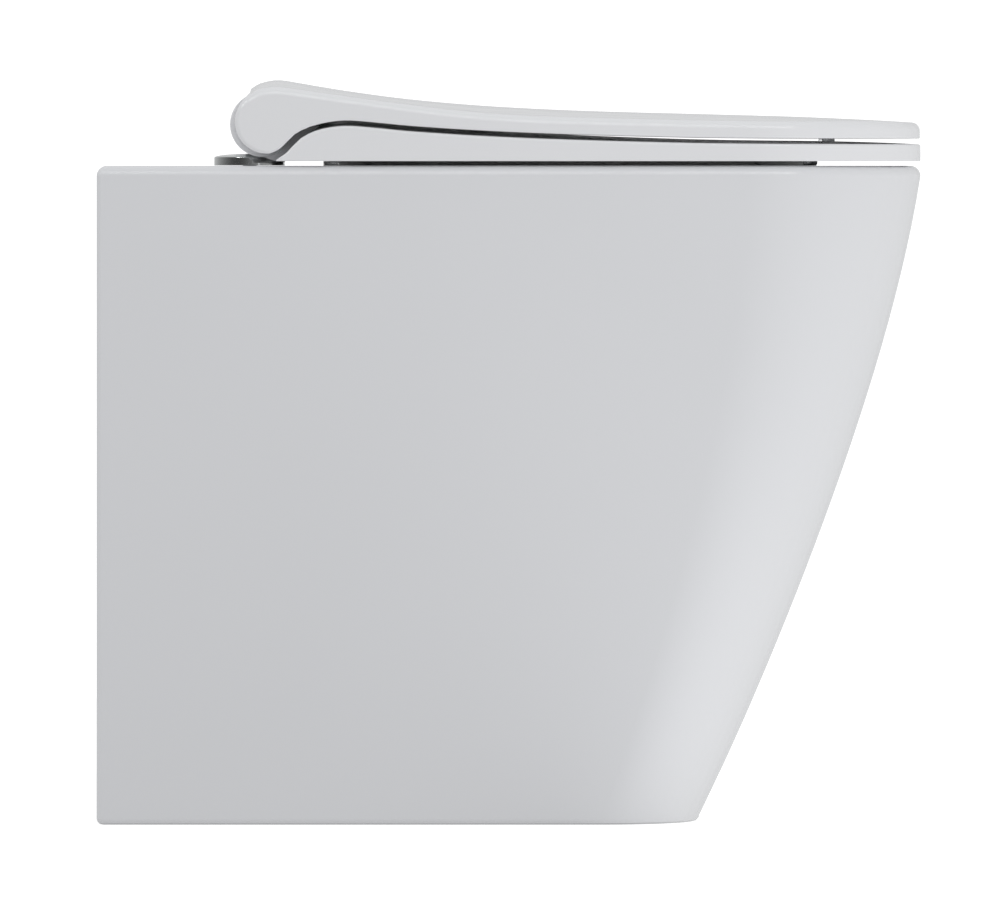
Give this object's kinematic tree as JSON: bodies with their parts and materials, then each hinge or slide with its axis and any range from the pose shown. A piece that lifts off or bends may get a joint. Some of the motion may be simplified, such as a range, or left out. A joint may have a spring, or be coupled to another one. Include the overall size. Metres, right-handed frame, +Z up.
{
  "type": "back-to-wall toilet",
  "caption": "Floor-standing back-to-wall toilet pan, fully skirted, with a slim soft-close wrap-over seat and lid on chrome hinges.",
  "frame": {"origin": "on the floor, under the middle of the pan's depth and width", "axes": "+Z up, +Y towards the wall behind the pan, +X to the right as seen when facing the wall"},
  "size_m": [0.36, 0.52, 0.4687],
  "materials": {
    "ceramic": "glossy white glaze",
    "seat_plastic": "glossy white thermoset",
    "chrome": "polished",
    "steel": "zinc plated",
    "black_rubber": "matt",
    "buffer_rubber": "pale translucent",
    "nylon": "natural nylon",
    "damper_case": "dark grey"
  },
  "bodies": {
    "pan": {"pan_shroud": "ceramic", "pan_bowl": "ceramic", "pan_trapway": "ceramic", "pan_inlet": "ceramic", "inlet_seal": "black_rubber", "hinge_rose_left": "chrome", "hinge_rose_right": "chrome", "rose_gasket_left": "black_rubber", "rose_gasket_right": "black_rubber", "hinge_post_left": "chrome", "hinge_post_right": "chrome", "hinge_bolt_left": "steel", "hinge_bolt_right": "steel", "bolt_sleeve_left": "black_rubber", "bolt_sleeve_right": "black_rubber", "bolt_washer_left": "nylon", "bolt_washer_right": "nylon", "hinge_housing_left": "seat_plastic", "hinge_housing_right": "seat_plastic", "hinge_pin_left": "steel", "hinge_pin_right": "steel", "thrust_washer_left": "nylon", "thrust_washer_right": "nylon", "release_spring_left": "steel", "release_spring_right": "steel", "floor_bracket_left": "steel", "floor_bracket_right": "steel", "bracket_bolt_left": "steel", "bracket_bolt_right": "steel"},
    "seat": {"seat_ring": "seat_plastic", "seat_damper": "damper_case", "seat_buffer_rear_left": "buffer_rubber", "seat_buffer_rear_right": "buffer_rubber", "seat_buffer_front_left": "buffer_rubber", "seat_buffer_front_right": "buffer_rubber"},
    "lid": {"lid": "seat_plastic", "lid_damper": "damper_case", "lid_bush_left": "nylon", "lid_bush_right": "nylon", "lid_buffer_rear_left": "buffer_rubber", "lid_buffer_rear_right": "buffer_rubber", "lid_buffer_front_left": "buffer_rubber", "lid_buffer_front_right": "buffer_rubber"},
    "release_left": {"release_button_left": "chrome", "release_catch_left": "steel"},
    "release_right": {"release_button_right": "chrome", "release_catch_right": "steel"},
    "wing_nut_left": {"wing_nut_left": "nylon"},
    "wing_nut_right": {"wing_nut_right": "nylon"}
  },
  "joints": [
    {"name": "seat_hinge", "type": "hinge", "parent": "pan", "child": "seat", "pos_m": [0, 0.1559, 0.4405], "axis": [-1, 0, 0], "range_deg": [0, 95]},
    {"name": "lid_hinge", "type": "hinge", "parent": "seat", "child": "lid", "pos_m": [0, 0.1559, 0.4405], "axis": [1, 0, 0], "range_deg": [-98, 0]},
    {"name": "release_left_press", "type": "slide", "parent": "pan", "child": "release_left", "axis": [0, -1, 0], "range_m": [0, 0.002], "stiffness_N_per_m": 800, "springref_m": -0.002, "deforming": ["release_spring_left"]},
    {"name": "release_right_press", "type": "slide", "parent": "pan", "child": "release_right", "axis": [0, -1, 0], "range_m": [0, 0.002], "stiffness_N_per_m": 800, "springref_m": -0.002, "deforming": ["release_spring_right"]},
    {"name": "wing_nut_left_turn", "type": "hinge", "parent": "pan", "child": "wing_nut_left", "pos_m": [-0.0775, 0.1647, 0.388], "axis": [0, 0, 1], "range_deg": [0, 360]},
    {"name": "wing_nut_right_turn", "type": "hinge", "parent": "pan", "child": "wing_nut_right", "pos_m": [0.0775, 0.1647, 0.388], "axis": [0, 0, 1], "range_deg": [0, 360]}
  ]
}
